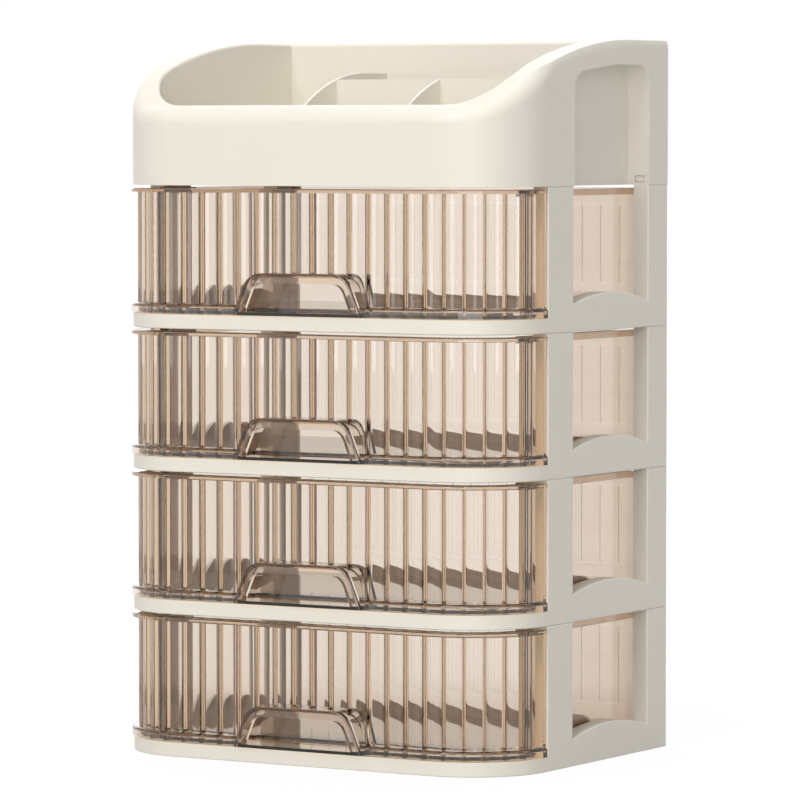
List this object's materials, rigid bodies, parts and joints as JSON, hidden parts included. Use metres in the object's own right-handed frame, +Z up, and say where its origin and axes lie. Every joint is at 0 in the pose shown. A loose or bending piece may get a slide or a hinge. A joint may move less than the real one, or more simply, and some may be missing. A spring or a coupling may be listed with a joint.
{
  "type": "cosmetic organizer",
  "caption": "Stacking cosmetic organizer: rounded cream frames with transparent fluted amber drawers that slide out, under an open divided tray with a swept rim.",
  "frame": {"origin": "on the floor, in the middle of the plan with the drawers shut", "axes": "+Z up, the drawers open along -Y, +X to the right seen from the front"},
  "size_m": [0.242, 0.173, 0.3685],
  "materials": {
    "cream_plastic": "satin, with a fine moulded grain",
    "amber_plastic": "clear and glossy"
  },
  "bodies": {
    "case": {"tier_1": "cream_plastic", "tier_2": "cream_plastic", "tier_3": "cream_plastic", "tier_4": "cream_plastic", "top_tray": "cream_plastic", "tray_dividers": "cream_plastic"},
    "drawer_1": {"drawer_1_box": "amber_plastic", "drawer_1_front": "amber_plastic"},
    "drawer_2": {"drawer_2_box": "amber_plastic", "drawer_2_front": "amber_plastic"},
    "drawer_3": {"drawer_3_box": "amber_plastic", "drawer_3_front": "amber_plastic"},
    "drawer_4": {"drawer_4_box": "amber_plastic", "drawer_4_front": "amber_plastic"}
  },
  "joints": [
    {"name": "drawer_1_slide", "type": "slide", "parent": "case", "child": "drawer_1", "axis": [0, -1, 0], "range_m": [0, 0.13]},
    {"name": "drawer_2_slide", "type": "slide", "parent": "case", "child": "drawer_2", "axis": [0, -1, 0], "range_m": [0, 0.13]},
    {"name": "drawer_3_slide", "type": "slide", "parent": "case", "child": "drawer_3", "axis": [0, -1, 0], "range_m": [0, 0.13]},
    {"name": "drawer_4_slide", "type": "slide", "parent": "case", "child": "drawer_4", "axis": [0, -1, 0], "range_m": [0, 0.13]}
  ]
}
